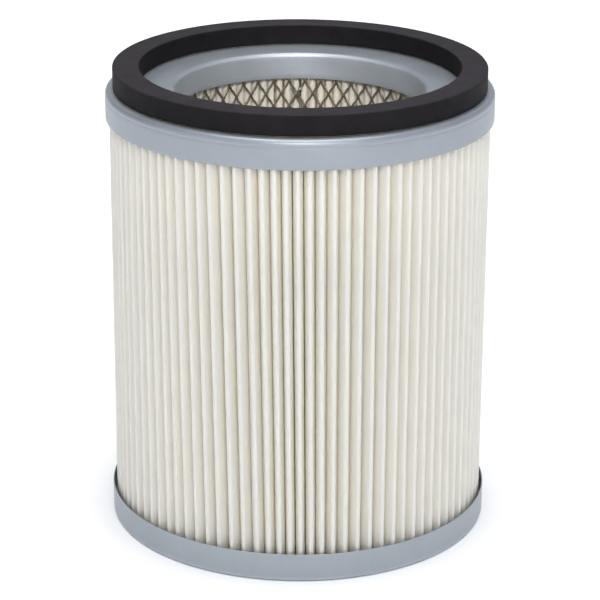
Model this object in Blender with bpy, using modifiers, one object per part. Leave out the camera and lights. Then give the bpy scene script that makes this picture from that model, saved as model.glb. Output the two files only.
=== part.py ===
"""Pleated filter cartridge of a workshop dust collector.

The cartridge stands on its closed bottom pan, with +Z up and the origin at the
centre of the pan's underside. A stamped top cap with an open throat and a
stamped bottom pan hold a ring of pleated filter media, which stands round an
expanded-metal core. Cast potting bonds the media and the core into both caps,
and a foam gasket glued on the top cap seals against the machine.
"""

import math

import bmesh
import bpy

MM = 0.001

# Driving dimensions.
CAP_RADIUS = 162.0 * MM
CAP_SHEET = 0.8 * MM
TOTAL_HEIGHT = 395.7 * MM
GASKET_THICKNESS = 17.4 * MM
GASKET_OUTER_RADIUS = 155.7 * MM
GASKET_INNER_RADIUS = 133.5 * MM
GASKET_EDGE_RADIUS = 0.6 * MM
ADHESIVE_THICKNESS = 0.3 * MM
ADHESIVE_INSET = 1.5 * MM
TOP_SKIRT_HEIGHT = 24.5 * MM
TOP_SHOULDER_RADIUS = 4.9 * MM
THROAT_RADIUS = 104.4 * MM
THROAT_TAPER = 0.7 * MM
THROAT_DEPTH = 22.5 * MM
THROAT_LIP_RADIUS = 3.4 * MM
BOTTOM_SKIRT_HEIGHT = 24.2 * MM
BOTTOM_CORNER_RADIUS = 2.2 * MM
TOP_POTTING_DEPTH = 7.0 * MM
BOTTOM_POTTING_DEPTH = 6.0 * MM
POTTING_FILLET = 1.5 * MM
PLEAT_COUNT = 96
PLEAT_OUTER_RADIUS = 158.8 * MM
PLEAT_INNER_RADIUS = 107.8 * MM
PLEAT_OUTER_WIDTH = 4.2 * MM
PLEAT_INNER_WIDTH = 3.0 * MM
PLEAT_TIP_DEPTH = 1.4 * MM
MEDIA_THICKNESS = 0.6 * MM
SEAM_CLIP_SHEET = 0.5 * MM
SEAM_CLIP_DEPTH = 12.0 * MM
CORE_RADIUS = 106.4 * MM
CORE_SHEET = 1.2 * MM
CORE_KNUCKLE_SHARE = 0.085
CORE_COLUMNS = 18
CORE_ROWS = 7
CONTACT_GAP = 0.3 * MM

# How finely round shapes are divided.
TURN_STEPS = 60
ARC_STEPS = 3
SHARP_ANGLE = math.radians(35)

# Heights and radii that follow from the driving dimensions.
GASKET_BOTTOM = TOTAL_HEIGHT - GASKET_THICKNESS
ADHESIVE_BOTTOM = GASKET_BOTTOM - CONTACT_GAP - ADHESIVE_THICKNESS
TOP_FACE = ADHESIVE_BOTTOM - CONTACT_GAP
TOP_POTTING_TOP = TOP_FACE - CAP_SHEET - CONTACT_GAP
TOP_POTTING_BOTTOM = TOP_POTTING_TOP - TOP_POTTING_DEPTH
BOTTOM_POTTING_BOTTOM = CAP_SHEET + CONTACT_GAP
BOTTOM_POTTING_TOP = BOTTOM_POTTING_BOTTOM + BOTTOM_POTTING_DEPTH
MEDIA_BOTTOM = BOTTOM_POTTING_TOP + CONTACT_GAP
MEDIA_TOP = TOP_POTTING_BOTTOM - CONTACT_GAP
SKIRT_INNER_RADIUS = CAP_RADIUS - CAP_SHEET
POTTING_OUTER_RADIUS = SKIRT_INNER_RADIUS - CONTACT_GAP
TOP_POTTING_INNER_RADIUS = THROAT_RADIUS + CAP_SHEET + CONTACT_GAP
BOTTOM_POTTING_INNER_RADIUS = CORE_RADIUS - 6.0 * MM


def clear_scene():
    for obj in list(bpy.data.objects):
        bpy.data.objects.remove(obj)


def make_collection(name):
    collection = bpy.data.collections.new(name)
    bpy.context.scene.collection.children.link(collection)
    return collection


def make_material(name, colour, roughness, metallic):
    """A Principled material with one colour, roughness and metallic value."""
    material = bpy.data.materials.new(name)
    material.use_nodes = True
    shader = material.node_tree.nodes["Principled BSDF"]
    shader.inputs["Base Color"].default_value = (*colour, 1.0)
    shader.inputs["Roughness"].default_value = roughness
    shader.inputs["Metallic"].default_value = metallic
    return material


def add_object(name, bm, collection, material):
    """A named object made from a bmesh, shaded smooth with its sharp edges kept."""
    mesh = bpy.data.meshes.new(name)
    bm.to_mesh(mesh)
    bm.free()
    mesh.shade_smooth()
    mesh.set_sharp_from_angle(angle=SHARP_ANGLE)
    mesh.materials.append(material)
    obj = bpy.data.objects.new(name, mesh)
    collection.objects.link(obj)
    return obj


def add_wall(obj, thickness):
    """Gives an open surface its thickness, half to each side."""
    wall = obj.modifiers.new("wall", "SOLIDIFY")
    wall.thickness = thickness
    wall.offset = 0.0
    wall.use_even_offset = True


# Turned pieces. A profile is a list of (radius, height) points that runs down
# the piece's outer side.


def arc(centre, radius, start, end, steps=ARC_STEPS):
    """Profile points along an arc, with its angles in degrees."""
    points = []
    for step in range(steps + 1):
        angle = math.radians(start + (end - start) * step / steps)
        across = radius * math.cos(angle)
        upwards = radius * math.sin(angle)
        points.append((centre[0] + across, centre[1] + upwards))
    return points


def add_turned(name, profile, collection, material, closed=True):
    """A profile turned once round Z. A profile that ends on the axis isn't closed."""
    bm = bmesh.new()
    verts = [bm.verts.new((radius, 0.0, height)) for radius, height in profile]
    for first, second in zip(verts, verts[1:]):
        bm.edges.new((first, second))
    if closed:
        bm.edges.new((verts[-1], verts[0]))
    obj = add_object(name, bm, collection, material)
    screw = obj.modifiers.new("turn", "SCREW")
    screw.axis = "Z"
    screw.angle = math.tau
    screw.steps = TURN_STEPS
    screw.render_steps = TURN_STEPS
    screw.use_merge_vertices = True
    screw.merge_threshold = 0.00001
    return obj


def build_top_end_cap(collection, material):
    """Over the throat's lip and the shoulder, down the skirt, and back along the inside."""
    shoulder = (CAP_RADIUS - TOP_SHOULDER_RADIUS, TOP_FACE - TOP_SHOULDER_RADIUS)
    lip = (THROAT_RADIUS + THROAT_LIP_RADIUS, TOP_FACE - THROAT_LIP_RADIUS)
    skirt_edge = TOP_FACE - TOP_SKIRT_HEIGHT
    throat_edge = TOP_FACE - THROAT_DEPTH
    throat_end = THROAT_RADIUS - THROAT_TAPER
    profile = arc(lip, THROAT_LIP_RADIUS, 180, 90)
    profile += arc(shoulder, TOP_SHOULDER_RADIUS, 90, 0)
    profile += [(CAP_RADIUS, skirt_edge), (SKIRT_INNER_RADIUS, skirt_edge)]
    profile += arc(shoulder, TOP_SHOULDER_RADIUS - CAP_SHEET, 0, 90)
    profile += arc(lip, THROAT_LIP_RADIUS - CAP_SHEET, 90, 180)
    profile += [(throat_end + CAP_SHEET, throat_edge), (throat_end, throat_edge)]
    add_turned("top_end_cap", profile, collection, material)


def build_bottom_end_cap(collection, material):
    """A pan: out along the floor, up the skirt's inside, down its outside and back to the axis."""
    corner = (CAP_RADIUS - BOTTOM_CORNER_RADIUS, BOTTOM_CORNER_RADIUS)
    profile = [(0.0, CAP_SHEET)]
    profile += arc(corner, BOTTOM_CORNER_RADIUS - CAP_SHEET, -90, 0)
    profile += [(SKIRT_INNER_RADIUS, BOTTOM_SKIRT_HEIGHT), (CAP_RADIUS, BOTTOM_SKIRT_HEIGHT)]
    profile += arc(corner, BOTTOM_CORNER_RADIUS, 0, -90)
    profile.append((0.0, 0.0))
    add_turned("bottom_end_cap", profile, collection, material, closed=False)


def build_sealing_gasket(collection, material):
    """A foam ring with a rectangular section, its upper edges eased."""
    edge = GASKET_EDGE_RADIUS
    high = TOTAL_HEIGHT - edge
    profile = arc((GASKET_INNER_RADIUS + edge, high), edge, 180, 90, 2)
    profile += arc((GASKET_OUTER_RADIUS - edge, high), edge, 90, 0, 2)
    profile += [(GASKET_OUTER_RADIUS, GASKET_BOTTOM), (GASKET_INNER_RADIUS, GASKET_BOTTOM)]
    add_turned("sealing_gasket", profile, collection, material)


def build_gasket_adhesive(collection, material):
    """The thin glue line between the gasket and the top cap."""
    inner = GASKET_INNER_RADIUS + ADHESIVE_INSET
    outer = GASKET_OUTER_RADIUS - ADHESIVE_INSET
    high = ADHESIVE_BOTTOM + ADHESIVE_THICKNESS
    profile = [(inner, high), (outer, high), (outer, ADHESIVE_BOTTOM), (inner, ADHESIVE_BOTTOM)]
    add_turned("gasket_adhesive", profile, collection, material)


def build_top_potting(collection, material):
    """Fills the cap's channel between the throat and the skirt, and climbs the skirt a little."""
    shoulder = TOP_SHOULDER_RADIUS - CAP_SHEET
    lip = THROAT_LIP_RADIUS - CAP_SHEET
    profile = [
        (TOP_POTTING_INNER_RADIUS, TOP_POTTING_TOP - lip),
        (TOP_POTTING_INNER_RADIUS + lip, TOP_POTTING_TOP),
        (POTTING_OUTER_RADIUS - shoulder, TOP_POTTING_TOP),
        (POTTING_OUTER_RADIUS, TOP_POTTING_TOP - shoulder),
        (POTTING_OUTER_RADIUS, TOP_POTTING_BOTTOM - POTTING_FILLET),
        (POTTING_OUTER_RADIUS - POTTING_FILLET, TOP_POTTING_BOTTOM),
        (TOP_POTTING_INNER_RADIUS, TOP_POTTING_BOTTOM),
    ]
    add_turned("top_potting", profile, collection, material)


def build_bottom_potting(collection, material):
    """A ring in the pan, from just inside the core out to the skirt, which it climbs a little."""
    corner = BOTTOM_CORNER_RADIUS - CAP_SHEET
    profile = [
        (BOTTOM_POTTING_INNER_RADIUS, BOTTOM_POTTING_TOP),
        (POTTING_OUTER_RADIUS - POTTING_FILLET, BOTTOM_POTTING_TOP),
        (POTTING_OUTER_RADIUS, BOTTOM_POTTING_TOP + POTTING_FILLET),
        (POTTING_OUTER_RADIUS, BOTTOM_POTTING_BOTTOM + corner),
        (POTTING_OUTER_RADIUS - corner, BOTTOM_POTTING_BOTTOM),
        (BOTTOM_POTTING_INNER_RADIUS - POTTING_FILLET, BOTTOM_POTTING_BOTTOM),
    ]
    add_turned("bottom_potting", profile, collection, material)


# Folded pieces. Both are open walls that stand along Z.


def on_radial(angle, outwards, sideways):
    """The plan position at a distance along a radial line and beside it. Angle 0 is -Y."""
    x = outwards * math.sin(angle) + sideways * math.cos(angle)
    y = sideways * math.sin(angle) - outwards * math.cos(angle)
    return x, y


def add_folded(name, outline, closed, collection, material):
    """A wall from the media's lower end to its upper end, over a plan outline."""
    bm = bmesh.new()
    lower = [bm.verts.new((x, y, MEDIA_BOTTOM)) for x, y in outline]
    upper = [bm.verts.new((x, y, MEDIA_TOP)) for x, y in outline]
    for index in range(len(outline) if closed else len(outline) - 1):
        after = (index + 1) % len(outline)
        bm.faces.new((lower[index], lower[after], upper[after], upper[index]))
    return add_object(name, bm, collection, material)


def pleat_outline():
    """The media's middle line: a pointed fold at each outer tip, a flat one at each root."""
    tip = PLEAT_OUTER_RADIUS - MEDIA_THICKNESS / 2
    root = PLEAT_INNER_RADIUS + MEDIA_THICKNESS / 2
    tip_half = PLEAT_OUTER_WIDTH / 2
    root_half = PLEAT_INNER_WIDTH / 2
    outline = []
    for pleat in range(PLEAT_COUNT):
        at_tip = math.tau * pleat / PLEAT_COUNT
        at_root = math.tau * (pleat + 0.5) / PLEAT_COUNT
        outline.append(on_radial(at_tip, tip - PLEAT_TIP_DEPTH, -tip_half))
        outline.append(on_radial(at_tip, tip, 0.0))
        outline.append(on_radial(at_tip, tip - PLEAT_TIP_DEPTH, tip_half))
        outline.append(on_radial(at_root, root, -root_half))
        outline.append(on_radial(at_root, root, root_half))
    return outline


def build_pleat_pack(collection, material):
    pack = add_folded("pleat_pack", pleat_outline(), True, collection, material)
    add_wall(pack, MEDIA_THICKNESS)


def build_media_seam_clip(collection, material):
    """A folded strip over the pleat, at the back, where the media's two ends meet."""
    clearance = CONTACT_GAP + SEAM_CLIP_SHEET / 2
    outside = PLEAT_OUTER_RADIUS + clearance
    inside = outside - SEAM_CLIP_DEPTH
    half = (PLEAT_OUTER_WIDTH + MEDIA_THICKNESS) / 2 + clearance
    plan = [(inside, -half), (outside, -half), (outside, half), (inside, half)]
    outline = [on_radial(math.pi, outwards, sideways) for outwards, sideways in plan]
    clip = add_folded("media_seam_clip", outline, False, collection, material)
    add_wall(clip, SEAM_CLIP_SHEET)


# Expanded-metal core: a lattice of diamonds. Four strands meet at a knuckle,
# itself a small diamond, whose share of the lattice step sets the strand width.


def core_knuckle(bm, column, row, step_angle, step_height):
    """The right, top, left and bottom corners of a knuckle."""
    share = CORE_KNUCKLE_SHARE
    corners = []
    for across, upwards in ((share, 0.0), (0.0, share), (-share, 0.0), (0.0, -share)):
        x, y = on_radial((column + across) * step_angle, CORE_RADIUS, 0.0)
        height = MEDIA_BOTTOM + (row + share + upwards) * step_height
        corners.append(bm.verts.new((x, y, height)))
    return corners


def build_inner_core(collection, material):
    columns = 2 * CORE_COLUMNS
    rows = 2 * CORE_ROWS
    step_angle = math.tau / columns
    step_height = (MEDIA_TOP - MEDIA_BOTTOM) / (rows + 2 * CORE_KNUCKLE_SHARE)
    bm = bmesh.new()
    knuckles = {}
    for row in range(rows + 1):
        for column in range(row % 2, columns, 2):
            knuckles[column, row] = core_knuckle(bm, column, row, step_angle, step_height)
    for (column, row), (right, top, left, bottom) in knuckles.items():
        bm.faces.new((right, top, left, bottom))
        if row == rows:
            continue
        above_right = knuckles[(column + 1) % columns, row + 1]
        above_left = knuckles[(column - 1) % columns, row + 1]
        bm.faces.new((right, above_right[3], above_right[2], top))
        bm.faces.new((top, above_left[0], above_left[3], left))
    core = add_object("inner_core", bm, collection, material)
    add_wall(core, CORE_SHEET)


def main():
    clear_scene()
    parts = make_collection("filter_cartridge")
    zinc_sheet = make_material("zinc_sheet", (0.42, 0.46, 0.51), 0.42, 0.85)
    zinc_mesh = make_material("zinc_mesh", (0.20, 0.18, 0.15), 0.50, 0.80)
    foam_rubber = make_material("foam_rubber", (0.028, 0.026, 0.030), 0.85, 0.0)
    glue = make_material("glue", (0.55, 0.50, 0.38), 0.60, 0.0)
    filter_media = make_material("filter_media", (0.84, 0.83, 0.78), 0.90, 0.0)
    potting = make_material("potting", (0.62, 0.58, 0.47), 0.55, 0.0)
    build_bottom_end_cap(parts, zinc_sheet)
    build_bottom_potting(parts, potting)
    build_inner_core(parts, zinc_mesh)
    build_pleat_pack(parts, filter_media)
    build_media_seam_clip(parts, zinc_sheet)
    build_top_potting(parts, potting)
    build_top_end_cap(parts, zinc_sheet)
    build_gasket_adhesive(parts, glue)
    build_sealing_gasket(parts, foam_rubber)


main()
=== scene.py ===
"""Looks of the pleated filter cartridge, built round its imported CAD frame.

The cartridge stands on the floor with +Z up. Angle 0 is -Y, where the camera
stands, and angles grow towards +X. All lengths are in metres.
"""

import math
import random

import bmesh
import bpy
from mathutils import Matrix, Vector


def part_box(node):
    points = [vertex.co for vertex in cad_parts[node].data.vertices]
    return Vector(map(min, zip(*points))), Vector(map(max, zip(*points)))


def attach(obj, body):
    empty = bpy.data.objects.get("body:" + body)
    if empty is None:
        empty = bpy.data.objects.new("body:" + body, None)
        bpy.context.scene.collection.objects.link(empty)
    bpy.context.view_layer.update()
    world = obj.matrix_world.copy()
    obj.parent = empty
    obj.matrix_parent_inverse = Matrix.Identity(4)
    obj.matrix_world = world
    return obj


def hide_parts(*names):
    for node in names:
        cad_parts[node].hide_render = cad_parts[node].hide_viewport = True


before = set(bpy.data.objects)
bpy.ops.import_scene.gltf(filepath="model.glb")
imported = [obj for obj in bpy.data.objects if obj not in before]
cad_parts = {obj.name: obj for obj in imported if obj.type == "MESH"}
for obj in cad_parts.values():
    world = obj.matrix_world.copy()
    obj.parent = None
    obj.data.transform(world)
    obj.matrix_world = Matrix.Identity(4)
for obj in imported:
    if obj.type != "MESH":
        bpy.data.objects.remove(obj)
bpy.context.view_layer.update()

MM = 0.001
SEED = 41

# Camera: its place in metres, and its angles in degrees.
CAMERA_LENS = 146.5
CAMERA_PLACE = (0.0, -1.9647, 0.9121)
CAMERA_DOWN = 20.26
CAMERA_ROLL = 0.32
CAMERA_SHIFT = 0.0017

# Lights: a white tent with a darker panel behind each side, a front softbox,
# a narrow lamp into the throat, and an even light from straight above.
FRONT_POWER = 18.0
FRONT_PLACE = (0.55, -3.0, 1.7)
FRONT_TARGET = (0.0, 0.0, 0.2)
FRONT_SIZE = (1.1, 1.8)
THROAT_POWER = 230.0
THROAT_COLOUR = (1.05, 1.0, 0.92)
THROAT_PLACE = (0.0, -2.0, 1.75)
THROAT_TARGET = (0.0, 0.10, 0.345)
THROAT_CONE = 5.4
THROAT_LAMP_RADIUS = 0.12
SKY_POWER = 2.2
SKY_SPREAD = 40.0
HORIZON = 0.58
ZENITH = 0.66
LEFT_DIP = 0.62
RIGHT_DIP = 0.42
PANEL_OFF_BACK = 64.0
PANEL_WIDTH = 0.55
LIGHT_COLOUR = (0.965, 0.99, 1.05)

# The frame's sizes, read from the CAD nodes.
CAP_LOW, CAP_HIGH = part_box("top_end_cap")
PAN_LOW, PAN_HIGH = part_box("bottom_end_cap")
GASKET_LOW, GASKET_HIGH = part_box("sealing_gasket")
MEDIA_LOW, MEDIA_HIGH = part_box("pleat_pack")
CORE_LOW, CORE_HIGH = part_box("inner_core")
CAP_RADIUS = CAP_HIGH.x
GASKET_RADIUS = GASKET_HIGH.x
CORE_OUTER = CORE_HIGH.x

# Sheet-metal sizes that the CAD model has inside its solids.
SHEET = 0.8 * MM
SHOULDER = 4.9 * MM
LIP = 3.4 * MM
THROAT_TOP_RADIUS = 104.4 * MM
THROAT_END_RADIUS = 103.7 * MM
THROAT_DEPTH = 22.5 * MM
PAN_CORNER = 2.2 * MM
GASKET_INNER = 133.5 * MM

# Media: 96 rounded pleats between the roots and the tips.
PLEATS = 96
TIP_RADIUS = 158.5 * MM
ROOT_RADIUS = 108.1 * MM
TIP_HALF = 1.45 * MM
TIP_ROUND = 0.9 * MM
PINCH_DEPTH = 7.6 * MM
WAIST = 0.35 * MM
PINCH_HALF = 0.75 * MM
ROOT_HALF = 2.5 * MM
MEDIA_SHEET = 0.6 * MM
MEDIA_GLOW = 0.5
BOND_SPACING = 2.1 * MM
CLIP_SHEET = 0.5 * MM
CLIP_GAP = 0.05 * MM
CRIMP_SPACING = 24.0 * MM
CRIMP_WIDTH = 2.2 * MM
CRIMP_DEPTH = 0.22 * MM
TIP_STEPS = 6
ROOT_STEPS = 4
OUTER_STEPS = 3
INNER_STEPS = 2
MEDIA_ROWS = 23
SEAM_PLEAT = PLEATS // 2

# Expanded-metal core.
MESH_COLUMNS = 48
MESH_RISE = 11.05 * MM
MESH_ROW_HEIGHT = 341.25 * MM
MESH_PHASE = math.pi + 0.026
KNUCKLE_HALF = 0.95 * MM
KNUCKLE_RISE = 1.6 * MM
STRAND_SHEET = 1.0 * MM
STRAND_TWIST = 0.3 * MM
STRAND_CURVE = 0.05
STRAND_PARTS = 3
OVERLAP_TURN = 0.0094
OVERLAP_DROP = 1.56 * MM
OVERLAP_GAP = 0.1 * MM
OVERLAP_BELOW_THROAT = 8.5 * MM


# ---------------------------------------------------------------- camera


def add_camera():
    """The viewpoint: nearly 2 m away and 0.9 m up, looking down by 20 degrees."""
    data = bpy.data.cameras.new("camera")
    data.lens = CAMERA_LENS
    data.sensor_width = 36.0
    data.shift_x = CAMERA_SHIFT
    data.clip_end = 100.0
    cam = bpy.data.objects.new("camera", data)
    bpy.context.scene.collection.objects.link(cam)
    tilt = Matrix.Rotation(math.radians(90.0 - CAMERA_DOWN), 4, "X")
    roll = Matrix.Rotation(math.radians(CAMERA_ROLL), 4, "Z")
    cam.matrix_world = Matrix.Translation(CAMERA_PLACE) @ tilt @ roll
    bpy.context.scene.camera = cam


# ---------------------------------------------------------------- node helpers


class Nodes:
    """Short calls for building a material's node tree."""

    def __init__(self, name):
        self.material = bpy.data.materials.new(name)
        self.material.use_nodes = True
        self.tree = self.material.node_tree
        self.shader = self.tree.nodes["Principled BSDF"]

    def add(self, kind, **settings):
        node = self.tree.nodes.new(kind)
        for key, value in settings.items():
            setattr(node, key, value)
        return node

    def link(self, source, target):
        self.tree.links.new(source, target)

    def feed(self, socket, value):
        if isinstance(value, bpy.types.NodeSocket):
            self.link(value, socket)
        else:
            socket.default_value = value

    def math(self, operation, first, second=0.0):
        node = self.add("ShaderNodeMath", operation=operation)
        self.feed(node.inputs[0], first)
        self.feed(node.inputs[1], second)
        return node.outputs[0]

    def radius(self, x, y):
        squares = self.math("ADD", self.math("MULTIPLY", x, x), self.math("MULTIPLY", y, y))
        return self.math("SQRT", squares)

    def position(self):
        node = self.add("ShaderNodeTexCoord")
        return node.outputs["Object"]

    def split(self, vector):
        node = self.add("ShaderNodeSeparateXYZ")
        self.link(vector, node.inputs[0])
        return node.outputs[0], node.outputs[1], node.outputs[2]

    def join(self, x, y, z):
        node = self.add("ShaderNodeCombineXYZ")
        for socket, value in zip(node.inputs, (x, y, z)):
            self.feed(socket, value)
        return node.outputs[0]

    def noise(self, vector, scale, detail=3.0, roughness=0.5):
        node = self.add("ShaderNodeTexNoise")
        self.link(vector, node.inputs["Vector"])
        node.inputs["Scale"].default_value = scale
        node.inputs["Detail"].default_value = detail
        node.inputs["Roughness"].default_value = roughness
        return node.outputs[0]

    def cells(self, vector, scale):
        node = self.add("ShaderNodeTexVoronoi")
        self.link(vector, node.inputs["Vector"])
        node.inputs["Scale"].default_value = scale
        return node.outputs["Distance"]

    def remap(self, value, low, high, new_low, new_high):
        node = self.add("ShaderNodeMapRange")
        self.link(value, node.inputs["Value"])
        ends = {"From Min": low, "From Max": high, "To Min": new_low, "To Max": new_high}
        for name, number in ends.items():
            node.inputs[name].default_value = number
        return node.outputs[0]

    def mix(self, factor, first, second):
        node = self.add("ShaderNodeMix", data_type="RGBA")
        self.feed(node.inputs[0], factor)
        for socket, value in ((node.inputs[6], first), (node.inputs[7], second)):
            self.feed(socket, value if isinstance(value, bpy.types.NodeSocket) else (*value, 1.0))
        return node.outputs[2]

    def scaled(self, colour, factor):
        node = self.add("ShaderNodeVectorMath", operation="SCALE")
        self.link(colour, node.inputs[0])
        self.link(factor, node.inputs["Scale"])
        return node.outputs[0]

    def bump(self, height, distance, strength, normal=None):
        node = self.add("ShaderNodeBump")
        node.inputs["Distance"].default_value = distance
        node.inputs["Strength"].default_value = strength
        self.link(height, node.inputs["Height"])
        if normal is not None:
            self.link(normal, node.inputs["Normal"])
        return node.outputs[0]

    def finish(self, colour=None, roughness=None, normal=None, **fixed):
        if colour is not None:
            self.link(colour, self.shader.inputs["Base Color"])
        if roughness is not None:
            self.link(roughness, self.shader.inputs["Roughness"])
        if normal is not None:
            self.link(normal, self.shader.inputs["Normal"])
        for name, value in fixed.items():
            self.shader.inputs[name.replace("_", " ")].default_value = value
        return self.material


# ---------------------------------------------------------------- materials


def sheet_steel(name, dark, light, turned_marks, drawn_marks, throat=None, foot_painted_light=False):
    """Zinc-plated sheet: fine marks round the axis, faint drawn streaks, soft mottling.

    throat paints light on the drawn wall and paints shade on the floor in and round the gasket, for the
    gasket's reflection and contact shadow; the foot flag paints light on the rolled edge that the
    cartridge stands on.
    """
    n = Nodes(name)
    place = n.position()
    x, y, z = n.split(place)
    radius = n.radius(x, y)
    along = n.math("ADD", radius, z)
    across = (n.math("MULTIPLY", x, 5.0), n.math("MULTIPLY", y, 5.0))
    rings = n.noise(n.join(*across, n.math("MULTIPLY", along, 520.0)), 1.0, 3.0, 0.6)
    streaks = n.noise(n.join(x, y, n.math("MULTIPLY", z, 0.05)), 260.0, 3.0, 0.6)
    mottle = n.noise(place, 28.0, 4.0, 0.55)
    grain = n.noise(place, 1400.0, 2.0, 0.5)
    tone = n.math("MULTIPLY", n.math("SUBTRACT", rings, 0.5), turned_marks)
    tone = n.math("ADD", tone, n.math("MULTIPLY", n.math("SUBTRACT", streaks, 0.5), drawn_marks))
    tone = n.math("ADD", tone, n.math("MULTIPLY", n.math("SUBTRACT", mottle, 0.5), 1.1))
    tone = n.math("ADD", tone, n.math("MULTIPLY", n.math("SUBTRACT", grain, 0.5), 0.25))
    colour = n.mix(n.remap(tone, -0.5, 0.5, 0.0, 1.0), dark, light)
    # Painted light and shade: the throat wall is made 1.5 times brighter, and the floor inside, under
    # and just outside the gasket is made 0.84 times as bright, for the gasket's reflection and contact
    # shadow.
    if throat is not None:
        wall_painted_light, floor_painted_shade = throat
        lip_end = THROAT_TOP_RADIUS + 0.4 * LIP
        ledge, skirt = GASKET_RADIUS + 1.5 * MM, GASKET_RADIUS + 6.0 * MM
        inside = n.remap(radius, THROAT_TOP_RADIUS, lip_end, wall_painted_light, floor_painted_shade)
        outside = n.remap(radius, ledge, skirt, 0.0, 1.0)
        colour = n.scaled(colour, n.math("MAXIMUM", inside, outside))
    # Painted light: the rolled edge at the foot is made up to 1.3 times brighter, for light bounced up
    # from the floor.
    if foot_painted_light:
        colour = n.scaled(colour, n.remap(z, 0.5 * MM, 4.0 * MM, 1.3, 1.0))
    rough = n.remap(n.math("ADD", rings, mottle), 0.6, 1.4, 0.36, 0.50)
    normal = n.bump(rings, 0.00012, 0.25)
    normal = n.bump(grain, 0.00004, 0.25, normal)
    return n.finish(colour, rough, normal, Metallic=0.55)


def mesh_steel():
    """Galvanised mesh that has gone dull and a little brown, in blotches."""
    n = Nodes("dull_galvanised_mesh")
    place = n.position()
    blotch = n.noise(place, 160.0, 4.0, 0.6)
    fine = n.noise(place, 1500.0, 2.0, 0.5)
    colour = n.mix(n.remap(blotch, 0.3, 0.7, 0.0, 1.0), (0.19, 0.165, 0.125), (0.34, 0.305, 0.245))
    rough = n.remap(fine, 0.3, 0.7, 0.34, 0.56)
    normal = n.bump(fine, 0.00005, 0.4)
    return n.finish(colour, rough, normal, Metallic=0.8)


def foam():
    """Black closed-cell foam: small pits, a faint broad mottle, painted light on the top face and
    painted shade on the walls.
    """
    n = Nodes("black_closed_cell_foam")
    place = n.position()
    broad = n.noise(place, 60.0, 4.0, 0.6)
    pits = n.cells(place, 1100.0)
    fine = n.noise(place, 900.0, 4.0, 0.65)
    tone = n.math("ADD", n.math("MULTIPLY", broad, 0.6), n.math("MULTIPLY", fine, 0.5))
    tone = n.remap(tone, 0.35, 0.75, 0.0, 1.0)
    colour = n.mix(tone, (0.0089, 0.0077, 0.0091), (0.0168, 0.0149, 0.0171))
    height = n.split(place)[2]
    # Painted light and shade: the top face is made 1.7 times brighter and the walls below it 0.78 times
    # as bright, as light from above falls on it.
    top_painted_light = n.remap(height, GASKET_HIGH.z - 1.1 * MM, GASKET_HIGH.z - 0.4 * MM, 0.78, 1.7)
    colour = n.scaled(colour, top_painted_light)
    rough = n.remap(fine, 0.3, 0.7, 0.62, 0.80)
    normal = n.bump(pits, 0.00022, 0.45)
    normal = n.bump(fine, 0.00018, 0.4, normal)
    return n.finish(colour, rough, normal, Specular_IOR_Level=0.12)


def media():
    """Spunbond polyester: fibres, a fine point-bond pattern, and tips a little greyer and more neutral
    than the deeper media.
    """
    n = Nodes("spunbond_media")
    place = n.position()
    strip = n.add("ShaderNodeUVMap", uv_map="strip").outputs[0]
    u, v, _ = n.split(strip)
    one = n.math("SINE", n.math("MULTIPLY", n.math("ADD", u, v), math.tau / BOND_SPACING))
    two = n.math("SINE", n.math("MULTIPLY", n.math("SUBTRACT", u, v), math.tau / BOND_SPACING))
    points = n.math("MULTIPLY", one, two)
    drawn_out = n.join(n.math("MULTIPLY", u, 900.0), n.math("MULTIPLY", v, 260.0), 0.0)
    fibres = n.noise(drawn_out, 1.0, 4.0, 0.65)
    cloud = n.noise(place, 45.0, 4.0, 0.55)
    tone = n.math("ADD", n.math("MULTIPLY", fibres, 0.30), n.math("MULTIPLY", cloud, 0.06))
    tone = n.math("ADD", tone, n.math("MULTIPLY", points, 0.05))
    tone = n.remap(tone, 0.10, 0.33, 0.0, 1.0)
    x, y, _ = n.split(place)
    radius = n.radius(x, y)
    near_tip = n.remap(radius, TIP_RADIUS - 5.0 * MM, TIP_RADIUS - 1.0 * MM, 0.0, 1.0)
    deep = n.mix(tone, (0.972, 0.957, 0.905), (0.988, 0.972, 0.930))
    greyer_tip = n.mix(tone, (0.935, 0.932, 0.914), (0.952, 0.949, 0.934))
    colour = n.mix(near_tip, deep, greyer_tip)
    rough = n.remap(fibres, 0.3, 0.7, 0.78, 0.95)
    normal = n.bump(points, 0.00005, 0.25)
    normal = n.bump(fibres, 0.00004, 0.2, normal)
    n.finish(colour, rough, normal, Specular_IOR_Level=0.2, Sheen_Weight=0.05)
    through = n.add("ShaderNodeBsdfTranslucent")
    through.inputs["Color"].default_value = (0.995, 0.98, 0.935, 1.0)
    n.link(normal, through.inputs["Normal"])
    both = n.add("ShaderNodeMixShader")
    both.inputs[0].default_value = MEDIA_GLOW
    n.link(n.shader.outputs[0], both.inputs[1])
    n.link(through.outputs[0], both.inputs[2])
    n.link(both.outputs[0], n.tree.nodes["Material Output"].inputs["Surface"])
    return n.material


def resin(name, dark, light):
    """Cast potting or dried glue: waxy, with shallow waves and a few specks."""
    n = Nodes(name)
    place = n.position()
    waves = n.noise(place, 70.0, 4.0, 0.55)
    specks = n.noise(place, 700.0, 2.0, 0.5)
    tone = n.math("ADD", n.math("MULTIPLY", waves, 0.8), n.math("MULTIPLY", specks, 0.2))
    colour = n.mix(n.remap(tone, 0.35, 0.65, 0.0, 1.0), dark, light)
    rough = n.remap(waves, 0.3, 0.7, 0.38, 0.58)
    normal = n.bump(waves, 0.0012, 0.35)
    normal = n.bump(specks, 0.0001, 0.2, normal)
    return n.finish(colour, rough, normal)


def floor_material():
    n = Nodes("pale_floor")
    colour = n.mix(n.noise(n.position(), 1.5, 2.0, 0.5), (0.93, 0.93, 0.93), (0.95, 0.95, 0.95))
    return n.finish(colour, None, None, Roughness=1.0, Specular_IOR_Level=0.0)


# ---------------------------------------------------------------- mesh helpers


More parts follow.
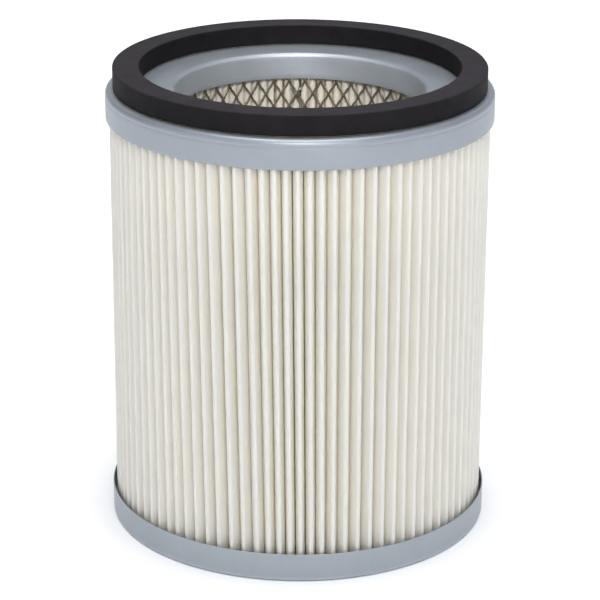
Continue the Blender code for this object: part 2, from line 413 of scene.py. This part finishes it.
def new_object(name, verts, faces, material, sharp=35.0):
    data = bpy.data.meshes.new(name)
    data.from_pydata([tuple(v) for v in verts], [], faces)
    data.validate()
    data.shade_smooth()
    data.set_sharp_from_angle(angle=math.radians(sharp))
    data.materials.append(material)
    obj = bpy.data.objects.new(name, data)
    bpy.context.scene.collection.objects.link(obj)
    return obj


def point_out(obj):
    bm = bmesh.new()
    bm.from_mesh(obj.data)
    bmesh.ops.recalc_face_normals(bm, faces=bm.faces)
    bm.to_mesh(obj.data)
    bm.free()


def arc(centre, radius, start, end, steps):
    """Profile points along an arc, with its angles in degrees."""
    points = []
    for step in range(steps + 1):
        angle = math.radians(start + (end - start) * step / steps)
        points.append((centre[0] + radius * math.cos(angle), centre[1] + radius * math.sin(angle)))
    return points


def line(start, end, steps):
    """Points between two profile points, without the ends."""
    across, up = end[0] - start[0], end[1] - start[1]
    return [(start[0] + across * i / steps, start[1] + up * i / steps) for i in range(1, steps)]


def at(angle, outwards, sideways, height):
    """A point given by its turn round the axis, and by how far out and to the side it is there."""
    x = outwards * math.sin(angle) + sideways * math.cos(angle)
    y = sideways * math.sin(angle) - outwards * math.cos(angle)
    return x, y, height


def turned(name, profile, segments, material, wobble=None, closed=True):
    """A profile of (radius, height) points turned round Z, its ends joined to the axis if it is open."""
    verts = []
    faces = []
    count = len(profile)
    for s in range(segments):
        angle = math.tau * s / segments
        for radius, height in profile:
            if wobble:
                radius, height = wobble(angle, radius, height)
            verts.append(at(angle, radius, 0.0, height))
    for s in range(segments):
        a = s * count
        b = ((s + 1) % segments) * count
        for i in range(count if closed else count - 1):
            j = (i + 1) % count
            faces.append((a + i, a + j, b + j, b + i))
    if not closed:
        for end in (0, count - 1):
            verts.append((0.0, 0.0, profile[end][1]))
            pole = len(verts) - 1
            for s in range(segments):
                faces.append((pole, s * count + end, ((s + 1) % segments) * count + end))
    obj = new_object(name, verts, faces, material)
    point_out(obj)
    return obj


def place(obj, slot, *nodes):
    """The piece rides on the one body and stands for its CAD nodes."""
    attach(obj, "root")
    if nodes:
        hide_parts(*nodes)
    return obj


# ---------------------------------------------------------------- end caps


def cap_wobble(angle, radius, height):
    """The slight unevenness of a pressed sheet, always inwards."""
    dent = 0.10 * math.sin(3 * angle + 0.6) + 0.06 * math.sin(7 * angle + 2.0)
    dent += 0.04 * math.sin(13 * angle)
    return radius - (0.20 + dent) * MM * 0.5, height


def build_top_cap(material):
    top = CAP_HIGH.z
    low = CAP_LOW.z
    shoulder = (CAP_RADIUS - SHOULDER, top - SHOULDER)
    lip = (THROAT_TOP_RADIUS + LIP, top - LIP)
    edge = 0.3 * MM
    groove = 0.28 * MM
    neck = shoulder[1] - 0.3 * MM
    profile = arc(lip, LIP, 180, 90, 9)
    profile += line((lip[0], top), (shoulder[0], top), 8)
    profile += arc(shoulder, SHOULDER, 90, 0, 10)
    profile += [
        (CAP_RADIUS - groove * 0.5, neck - 0.5 * MM),
        (CAP_RADIUS - groove, neck - 1.0 * MM),
        (CAP_RADIUS - groove * 0.5, neck - 1.5 * MM),
        (CAP_RADIUS, neck - 2.1 * MM),
    ]
    profile += line((CAP_RADIUS, neck - 2.1 * MM), (CAP_RADIUS, low + edge), 5)
    profile += arc((CAP_RADIUS - edge, low + edge), edge, 0, -90, 3)
    profile += [(CAP_RADIUS - SHEET, low)]
    profile += [(CAP_RADIUS - SHEET - groove * 0.6, neck - 2.4 * MM)]
    profile += [(CAP_RADIUS - SHEET - groove, neck - 1.0 * MM)]
    profile += arc(shoulder, SHOULDER - SHEET, 0, 90, 6)
    profile += line((shoulder[0], top - SHEET), (lip[0], top - SHEET), 3)
    profile += arc(lip, LIP - SHEET, 90, 180, 5)
    end = top - THROAT_DEPTH
    profile += [(THROAT_END_RADIUS + SHEET, end)]
    profile += arc((THROAT_END_RADIUS + edge, end + edge), edge, 270, 180, 3)
    profile += line((THROAT_END_RADIUS, end + edge), (THROAT_TOP_RADIUS, lip[1]), 5)
    cap = turned("top_cap_sheet", profile, 240, material, cap_wobble)
    return place(cap, "zinc_sheet", "top_end_cap")


def build_pan(material):
    high = PAN_HIGH.z
    corner = (CAP_RADIUS - PAN_CORNER, PAN_CORNER)
    edge = 0.35 * MM
    inner = CAP_RADIUS - SHEET
    hub = 12.0 * MM
    profile = [(hub, SHEET)]
    profile += line((hub, SHEET), (corner[0], SHEET), 8)
    profile += arc(corner, PAN_CORNER - SHEET, -90, 0, 5)
    profile += line((inner, PAN_CORNER), (inner, high - edge), 4)
    profile += arc((inner + edge, high - edge), edge, 180, 90, 3)
    profile += arc((CAP_RADIUS - edge, high - edge), edge, 90, 0, 3)
    profile += line((CAP_RADIUS, high - edge), (CAP_RADIUS, PAN_CORNER), 5)
    profile += arc(corner, PAN_CORNER, 0, -90, 6)
    profile += line((corner[0], 0.0), (hub, 0.0), 8)
    profile += [(hub, 0.0)]

    def wobble(angle, radius, height):
        if height < PAN_CORNER:
            return radius, height
        return cap_wobble(angle + 1.3, radius, height)

    pan = turned("bottom_pan_sheet", profile, 240, material, wobble, closed=False)
    return place(pan, "zinc_sheet", "bottom_end_cap")


# ---------------------------------------------------------------- gasket


def build_gasket(material):
    low, high = GASKET_LOW.z, GASKET_HIGH.z
    edge = 0.9 * MM
    foot = edge * 0.5
    profile = arc((GASKET_INNER + edge, high - edge), edge, 180, 90, 5)
    profile += line((GASKET_INNER + edge, high), (GASKET_RADIUS - edge, high), 6)
    profile += arc((GASKET_RADIUS - edge, high - edge), edge, 90, 0, 5)
    profile += line((GASKET_RADIUS, high - edge), (GASKET_RADIUS, low + foot), 5)
    profile += arc((GASKET_RADIUS - foot, low + foot), foot, 0, -90, 3)
    profile += line((GASKET_RADIUS - foot, low), (GASKET_INNER + foot, low), 4)
    profile += arc((GASKET_INNER + foot, low + foot), foot, 270, 180, 3)
    profile += line((GASKET_INNER, low + foot), (GASKET_INNER, high - edge), 5)
    middle = (GASKET_INNER + GASKET_RADIUS) / 2

    def wobble(angle, radius, height):
        """The cut of the knife wanders a little, and the ring's height with it."""
        side = 1.0 if radius > middle else -1.0
        wave = math.sin(5 * angle + side) + 0.7 * math.sin(11 * angle + 2.1 * side)
        wave += 0.5 * math.sin(23 * angle)
        rise = (height - low) / (high - low)
        radius -= side * (0.14 + 0.055 * wave * (0.4 + 0.6 * rise)) * MM
        height -= (0.10 + 0.05 * math.sin(4 * angle + 1.0)) * MM * rise
        return radius, height

    gasket = turned("foam_gasket", profile, 288, material, wobble)
    place(gasket, "foam_rubber", "sealing_gasket")
    return gasket


# ---------------------------------------------------------------- pleated media


def lean(angle, depth):
    """How a pleat at an angle wanders round the axis, for a depth of 0 at the top to 1 at the foot.

    The pleats in front are a little bunched, and drift sideways towards the
    foot. Near the seam at the back there is neither.
    """
    shift = math.radians(-0.5)
    squeeze = 0.0163 * math.exp(-((angle / math.radians(40.0)) ** 2)) * math.sin(8 * angle)
    drift = math.radians(1.45) * (1.0 - math.sin(3 * angle)) * math.cos(angle / 2) ** 2
    return angle + shift * math.cos(angle / 2) ** 2 - squeeze + drift * depth


def media_depth(height):
    """0 at the top cap's edge and 1 at the bottom pan's."""
    return min(1.0, max(0.0, (CAP_LOW.z - height) / (CAP_LOW.z - PAN_HIGH.z)))


class Pleat:
    """One fold's own small irregularities, fixed by the seed."""

    def __init__(self, index, rng):
        centred = index if index <= PLEATS // 2 else index - PLEATS
        self.angle = math.tau * centred / PLEATS
        calm = 0.0 if abs(centred) >= SEAM_PLEAT - 1 else 1.0
        self.jitter = calm * math.radians(rng.uniform(-0.22, 0.22))
        self.half = TIP_HALF * (1.0 + calm * rng.uniform(-0.09, 0.09))
        self.reach = -calm * rng.uniform(0.0, 0.5) * MM
        self.wave = calm * rng.uniform(0.02, 0.09) * MM
        self.phase = rng.uniform(0.0, math.tau)
        self.turns = rng.uniform(0.5, 1.3)
        self.bow = calm * rng.uniform(-0.25, 0.35) * MM
        self.root_jitter = calm * math.radians(rng.uniform(-0.2, 0.2))
        self.root_half = ROOT_HALF * (1.0 + rng.uniform(-0.12, 0.12))

    def tip_angle(self, height):
        """Where the tip's middle lies round the axis."""
        return lean(self.angle, media_depth(height)) + self.jitter

    def sway(self, height):
        """How far the tip wanders to a side there, in metres."""
        return self.wave * math.sin(math.tau * self.turns * height / 0.36 + self.phase)


def pleat_section(pleats, height):
    """The media's middle line at one height, in order round the axis.

    A fold widens from its tip until it nearly meets the next one, and then
    follows it down to the root.
    """
    points = []
    pinch_radius = TIP_RADIUS - PINCH_DEPTH
    for index, pleat in enumerate(pleats):
        after = pleats[(index + 1) % PLEATS]
        angle = pleat.tip_angle(height)
        next_angle = after.tip_angle(height)
        if next_angle < angle:
            next_angle += math.tau
        points += tip(pleat, angle, height)
        start = Vector(points[-1])
        root_turn = lean(pleat.angle + math.pi / PLEATS, media_depth(height)) + pleat.root_jitter
        root_half = pleat.root_half
        root_centre = ROOT_RADIUS + root_half
        root = []
        for step in range(ROOT_STEPS + 1):
            turn = math.pi * (step / ROOT_STEPS - 0.5)
            inner = root_centre - root_half * math.cos(turn)
            root.append(at(root_turn, inner, root_half * math.sin(turn), height))
        inwards = PINCH_DEPTH / (TIP_RADIUS - ROOT_RADIUS)
        pinch_turn = (angle + next_angle) / 2 * (1 - inwards) + root_turn * inwards
        pinch_near = Vector(at(pinch_turn, pinch_radius, -PINCH_HALF, height))
        pinch_far = Vector(at(pinch_turn, pinch_radius, PINCH_HALF, height))
        points += flank(start, pinch_near, WAIST + pleat.bow, OUTER_STEPS) + [tuple(pinch_near)]
        points += flank(pinch_near, Vector(root[0]), 0.0, INNER_STEPS)
        points += root
        points += flank(Vector(root[-1]), pinch_far, 0.0, INNER_STEPS) + [tuple(pinch_far)]
        next_start = Vector(tip(after, next_angle, height)[0])
        points += flank(pinch_far, next_start, WAIST - after.bow, OUTER_STEPS)
    return points


def tip(pleat, angle, height):
    """The fold's flattened outer round."""
    centre = TIP_RADIUS - TIP_ROUND + pleat.reach
    sway = pleat.sway(height)
    points = []
    for step in range(TIP_STEPS + 1):
        turn = math.pi * (step / TIP_STEPS - 0.5)
        outer = centre + TIP_ROUND * math.cos(turn)
        points.append(at(angle, outer, pleat.half * math.sin(turn) + sway, height))
    return points


def flank(start, end, bow, steps):
    """The points between two places of a fold, bowed a little to one side."""
    along = end - start
    side = Vector((-along.y, along.x, 0.0)).normalized()
    points = []
    for i in range(1, steps):
        points.append(tuple(start + along * (i / steps) + side * bow * math.sin(math.pi * i / steps)))
    return points


def build_media(material):
    rng = random.Random(SEED)
    pleats = [Pleat(index, rng) for index in range(PLEATS)]
    low, high = MEDIA_LOW.z, MEDIA_HIGH.z
    rows = [low + (high - low) * r / (MEDIA_ROWS - 1) for r in range(MEDIA_ROWS)]
    sections = [pleat_section(pleats, height) for height in rows]
    count = len(sections[0])
    verts = [point for section in sections for point in section]
    faces = []
    for r in range(MEDIA_ROWS - 1):
        for i in range(count):
            j = (i + 1) % count
            below, above = r * count, (r + 1) * count
            faces.append((below + i, below + j, above + j, above + i))
    pack = new_object("pleated_media", verts, faces, material, sharp=60.0)
    length = add_strip_map(pack, sections[MEDIA_ROWS // 2], count, rows)
    wall = pack.modifiers.new("wall", "SOLIDIFY")
    wall.thickness = MEDIA_SHEET
    wall.offset = 0.0
    wall.use_even_offset = True
    place(pack, "filter_media", "pleat_pack")
    return pack


def add_strip_map(obj, section, count, rows):
    """UVs in metres over the unfolded strip, and the strip's length."""
    points = [Vector(p) for p in section]
    run = [0.0]
    for i in range(count):
        run.append(run[-1] + (points[(i + 1) % count] - points[i]).length)
    layer = obj.data.uv_layers.new(name="strip")
    for polygon in obj.data.polygons:
        row, i = divmod(polygon.index, count)
        corners = {}
        for level in (row, row + 1):
            corners[level * count + i] = (run[i], rows[level])
            corners[level * count + (i + 1) % count] = (run[i + 1], rows[level])
        for loop in polygon.loop_indices:
            layer.data[loop].uv = corners[obj.data.loops[loop].vertex_index]
    return run[-1]


def build_seam_clip(material):
    """A folded strip that follows the seam pleat's tip and flanks, crimped to it at intervals."""
    low, high = MEDIA_LOW.z, MEDIA_HIGH.z
    off = (MEDIA_SHEET + CLIP_SHEET) / 2 + CLIP_GAP
    centre = TIP_RADIUS - TIP_ROUND
    pinch_radius = TIP_RADIUS - PINCH_DEPTH
    half_step = math.pi / PLEATS
    pinch = Vector((pinch_radius * math.cos(half_step) + PINCH_HALF * math.sin(half_step), 0.0, 0.0))
    pinch.y = pinch_radius * math.sin(half_step) - PINCH_HALF * math.cos(half_step)
    shoulder = Vector((centre, TIP_HALF, 0.0))
    along = (pinch - shoulder).normalized()
    outside = Vector((along.y, -along.x, 0.0)) * off
    middle, end = (Vector(p) + outside for p in flank(shoulder, pinch, WAIST, 3))
    rows = 121
    verts = []
    for r in range(rows):
        height = low + (high - low) * r / (rows - 1)
        from_crimp = (height - low) % CRIMP_SPACING - CRIMP_SPACING / 2
        crimp = math.exp(-((from_crimp / CRIMP_WIDTH) ** 2)) * CRIMP_DEPTH
        leg = [(end.x, end.y - crimp * 0.3), (middle.x, middle.y - crimp)]
        plan = [(x, -y) for x, y in leg]
        for step in range(9):
            turn = math.pi * (step / 8 - 0.5)
            outer = centre + (TIP_ROUND + off) * math.cos(turn)
            plan.append((outer, (TIP_HALF + off) * math.sin(turn)))
        plan += leg[::-1]
        verts += [at(math.pi, x, y, height) for x, y in plan]
    count = 13
    faces = []
    for r in range(rows - 1):
        for i in range(count - 1):
            below, above = r * count, (r + 1) * count
            faces.append((below + i, below + i + 1, above + i + 1, above + i))
    clip = new_object("seam_clip_strip", verts, faces, material)
    wall = clip.modifiers.new("wall", "SOLIDIFY")
    wall.thickness = CLIP_SHEET
    wall.offset = 0.0
    return place(clip, "zinc_sheet", "media_seam_clip")


# ---------------------------------------------------------------- expanded-metal core


def lattice(columns, first_column, last_column, radius, turn, drop, wrap, high):
    """A thin lattice of strands on a cylinder, as a bmesh cut at the core's foot and at a height.

    Two columns make one diamond, and wrap joins the last column to the first.
    """
    step = math.pi / columns
    low = CORE_LOW.z
    top_row = int((high - MESH_ROW_HEIGHT) / MESH_RISE) + 2
    bottom_row = -int((MESH_ROW_HEIGHT - low) / MESH_RISE) - 2
    half_angle = KNUCKLE_HALF / radius
    bm = bmesh.new()

    def vert(angle, height, twist):
        return bm.verts.new(at(angle + turn, radius - twist * STRAND_TWIST, 0.0, height - drop))

    knuckles = {}
    for row in range(bottom_row, top_row + 1):
        for column in range(first_column, last_column):
            if (column + row) % 2 == 0:
                angle = MESH_PHASE + column * step
                height = MESH_ROW_HEIGHT + row * MESH_RISE
                knuckles[column, row] = (
                    vert(angle + half_angle, height, 0.0),
                    vert(angle, height + KNUCKLE_RISE, 1.0),
                    vert(angle - half_angle, height, 0.0),
                    vert(angle, height - KNUCKLE_RISE, -1.0),
                    angle,
                    height,
                )
    total = last_column - first_column
    for (column, row), knuckle in knuckles.items():
        bm.faces.new(knuckle[:4])
        for side in (1, -1):
            beside = column + side
            if wrap:
                beside = first_column + (beside - first_column) % total
            above = knuckles.get((beside, row + 1))
            if above is None:
                continue
            near = (knuckle[0], knuckle[1]) if side == 1 else (knuckle[1], knuckle[2])
            far = (above[3], above[2]) if side == 1 else (above[0], above[3])
            strand(bm, vert, knuckle, side, step, near, far)
    for height, outwards in ((high, 1.0), (low, -1.0)):
        geometry = bm.verts[:] + bm.edges[:] + bm.faces[:]
        plane = {"plane_co": (0, 0, height), "plane_no": (0, 0, outwards)}
        bmesh.ops.bisect_plane(bm, geom=geometry, clear_outer=True, **plane)
    return bm


def strand(bm, vert, knuckle, side, step, near, far):
    """A curved strand from one knuckle up to the next, in a few parts."""
    angle, height = knuckle[4], knuckle[5]
    half = KNUCKLE_HALF / CORE_OUTER
    if side == 1:
        first = ((half, 0.0, 0.0), (0.0, KNUCKLE_RISE, 1.0))
        last = ((step, MESH_RISE - KNUCKLE_RISE, -1.0), (step - half, MESH_RISE, 0.0))
    else:
        first = ((0.0, KNUCKLE_RISE, 1.0), (-half, 0.0, 0.0))
        last = ((-step + half, MESH_RISE, 0.0), (-step, MESH_RISE - KNUCKLE_RISE, -1.0))
    previous = near
    for part in range(1, STRAND_PARTS + 1):
        if part == STRAND_PARTS:
            current = far
        else:
            share = part / STRAND_PARTS
            bend = STRAND_CURVE * math.sin(math.tau * share) * step * side
            current = []
            for (a0, h0, t0), (a1, h1, t1) in zip(first, last):
                turned_by = angle + a0 + (a1 - a0) * share - bend
                current.append(vert(turned_by, height + h0 + (h1 - h0) * share, t0 + (t1 - t0) * share))
        bm.faces.new((previous[0], current[0], current[1], previous[1]))
        previous = current


def build_core(material):
    """The tube's lattice, with a narrow second layer where its ends overlap."""
    radius = CORE_OUTER - STRAND_SHEET / 2 - STRAND_TWIST
    bm = lattice(MESH_COLUMNS, 0, 2 * MESH_COLUMNS, radius, 0.0, 0.0, True, CORE_HIGH.z)
    below_throat = CAP_HIGH.z - THROAT_DEPTH - OVERLAP_BELOW_THROAT
    inside = radius - STRAND_SHEET - 2 * STRAND_TWIST - OVERLAP_GAP
    overlap = lattice(MESH_COLUMNS, -1, 2, inside, OVERLAP_TURN, OVERLAP_DROP, False, below_throat)
    spare = bpy.data.meshes.new("overlap")
    overlap.to_mesh(spare)
    overlap.free()
    bm.from_mesh(spare)
    bpy.data.meshes.remove(spare)
    bmesh.ops.recalc_face_normals(bm, faces=bm.faces)
    data = bpy.data.meshes.new("expanded_metal_core")
    bm.to_mesh(data)
    bm.free()
    data.shade_smooth()
    data.set_sharp_from_angle(angle=math.radians(30.0))
    data.materials.append(material)
    core = bpy.data.objects.new("expanded_metal_core", data)
    bpy.context.scene.collection.objects.link(core)
    wall = core.modifiers.new("wall", "SOLIDIFY")
    wall.thickness = STRAND_SHEET
    wall.offset = 0.0
    return place(core, "zinc_mesh", "inner_core")


# ---------------------------------------------------------------- stage and light


def add_floor():
    size = 30.0
    verts = [(-size, -size, 0.0), (size, -size, 0.0), (size, size, 0.0), (-size, size, 0.0)]
    floor = new_object("floor", verts, [(0, 1, 2, 3)], floor_material())
    floor.location.z = -0.0002


def add_world():
    """A white tent, a little brighter overhead, with a soft dark panel behind each side."""
    world = bpy.data.worlds.new("tent")
    world.use_nodes = True
    bpy.context.scene.world = world
    tree = world.node_tree
    back = tree.nodes["Background"]
    back.inputs["Strength"].default_value = 1.0
    coords = tree.nodes.new("ShaderNodeTexCoord")
    split = tree.nodes.new("ShaderNodeSeparateXYZ")
    ramp = tree.nodes.new("ShaderNodeMapRange")
    mix = tree.nodes.new("ShaderNodeMix")
    mix.data_type = "RGBA"
    ramp.inputs["From Min"].default_value = -0.1
    ramp.inputs["From Max"].default_value = 1.0
    mix.inputs[6].default_value = (*(HORIZON * channel for channel in LIGHT_COLOUR), 1.0)
    mix.inputs[7].default_value = (*(ZENITH * channel for channel in LIGHT_COLOUR), 1.0)
    tree.links.new(coords.outputs["Generated"], split.inputs[0])
    tree.links.new(split.outputs[2], ramp.inputs["Value"])
    tree.links.new(ramp.outputs[0], mix.inputs[0])
    tree.links.new(mix.outputs[2], back.inputs["Color"])

    def math_node(operation, first, second=0.0):
        node = tree.nodes.new("ShaderNodeMath")
        node.operation = operation
        for socket, value in zip(node.inputs, (first, second)):
            if isinstance(value, bpy.types.NodeSocket):
                tree.links.new(value, socket)
            else:
                socket.default_value = value
        return node.outputs[0]

    x, y = split.outputs[0], split.outputs[1]
    level = math_node("SQRT", math_node("ADD", math_node("MULTIPLY", x, x), math_node("MULTIPLY", y, y)))
    backwards = math_node("DIVIDE", y, level)
    panel_middle = math.cos(math.radians(PANEL_OFF_BACK))
    off_panel = math_node("ABSOLUTE", math_node("SUBTRACT", backwards, panel_middle))
    panel = tree.nodes.new("ShaderNodeMapRange")
    panel.interpolation_type = "SMOOTHSTEP"
    panel.inputs["From Min"].default_value = 0.0
    panel.inputs["From Max"].default_value = PANEL_WIDTH
    panel.inputs["To Max"].default_value = 1.0
    tree.links.new(off_panel, panel.inputs["Value"])
    sideways = math_node("DIVIDE", x, level)
    middle = 1.0 - (LEFT_DIP + RIGHT_DIP) / 2
    darkest = math_node("ADD", middle, math_node("MULTIPLY", sideways, (LEFT_DIP - RIGHT_DIP) / 2))
    tree.links.new(darkest, panel.inputs["To Min"])
    tree.links.new(panel.outputs[0], back.inputs["Strength"])


def aim(light, location, target):
    """Puts a lamp in the scene, with its beam towards a point."""
    bpy.context.scene.collection.objects.link(light)
    turn = (Vector(target) - Vector(location)).to_track_quat("-Z", "Y").to_matrix().to_4x4()
    light.matrix_world = Matrix.Translation(location) @ turn


def add_softbox(name, location, target, size, power):
    data = bpy.data.lights.new(name, "AREA")
    data.shape = "RECTANGLE"
    data.size, data.size_y = size
    data.energy = power
    data.color = LIGHT_COLOUR
    aim(bpy.data.objects.new(name, data), location, target)


def add_spot(name, location, target, power, cone, size):
    """A narrow lamp that looks down into the throat from the front."""
    data = bpy.data.lights.new(name, "SPOT")
    data.energy = power
    data.color = THROAT_COLOUR
    data.spot_size = math.radians(cone)
    data.spot_blend = 0.4
    data.shadow_soft_size = size
    aim(bpy.data.objects.new(name, data), location, target)


def add_sky_light(strength, spread):
    """An even light from straight above, so that the white floor keeps no shadow edge."""
    data = bpy.data.lights.new("sky", "SUN")
    data.energy = strength
    data.angle = math.radians(spread)
    light = bpy.data.objects.new("sky", data)
    bpy.context.scene.collection.objects.link(light)


def main():
    add_camera()
    scene = bpy.context.scene
    scene.view_settings.view_transform = "Standard"
    scene.view_settings.look = "None"
    scene.cycles.diffuse_bounces = 10
    scene.cycles.transmission_bounces = 16
    scene.cycles.max_bounces = 20
    add_world()
    add_floor()
    add_softbox("front", FRONT_PLACE, FRONT_TARGET, FRONT_SIZE, FRONT_POWER)
    add_spot("throat", THROAT_PLACE, THROAT_TARGET, THROAT_POWER, THROAT_CONE, THROAT_LAMP_RADIUS)
    add_sky_light(SKY_POWER, SKY_SPREAD)

    # The cap's steel gets painted light on the throat wall and painted shade on the floor round the
    # gasket.
    cap_steel = sheet_steel(
        "zinc_plated_cap", (0.288, 0.318, 0.354), (0.348, 0.378, 0.414), 0.35, 0.15, throat=(1.5, 0.84)
    )
    # The pan's steel gets painted light on its rolled foot.
    pan_steel = sheet_steel(
        "zinc_plated_pan", (0.310, 0.345, 0.375), (0.380, 0.415, 0.445), 0.15, 0.40, foot_painted_light=True
    )
    clip_steel = sheet_steel("zinc_plated_clip", (0.42, 0.45, 0.49), (0.49, 0.52, 0.56), 0.2, 0.3)
    build_top_cap(cap_steel)
    build_pan(pan_steel)
    build_gasket(foam())
    build_media(media())
    build_seam_clip(clip_steel)
    build_core(mesh_steel())
    potting = resin("cast_plastisol", (0.50, 0.46, 0.36), (0.62, 0.58, 0.47))
    glue = resin("dried_contact_glue", (0.42, 0.37, 0.26), (0.55, 0.50, 0.38))
    kept_nodes = {"top_potting": potting, "bottom_potting": potting, "gasket_adhesive": glue}
    for node, material in kept_nodes.items():
        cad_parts[node].material_slots[0].material = material


main()
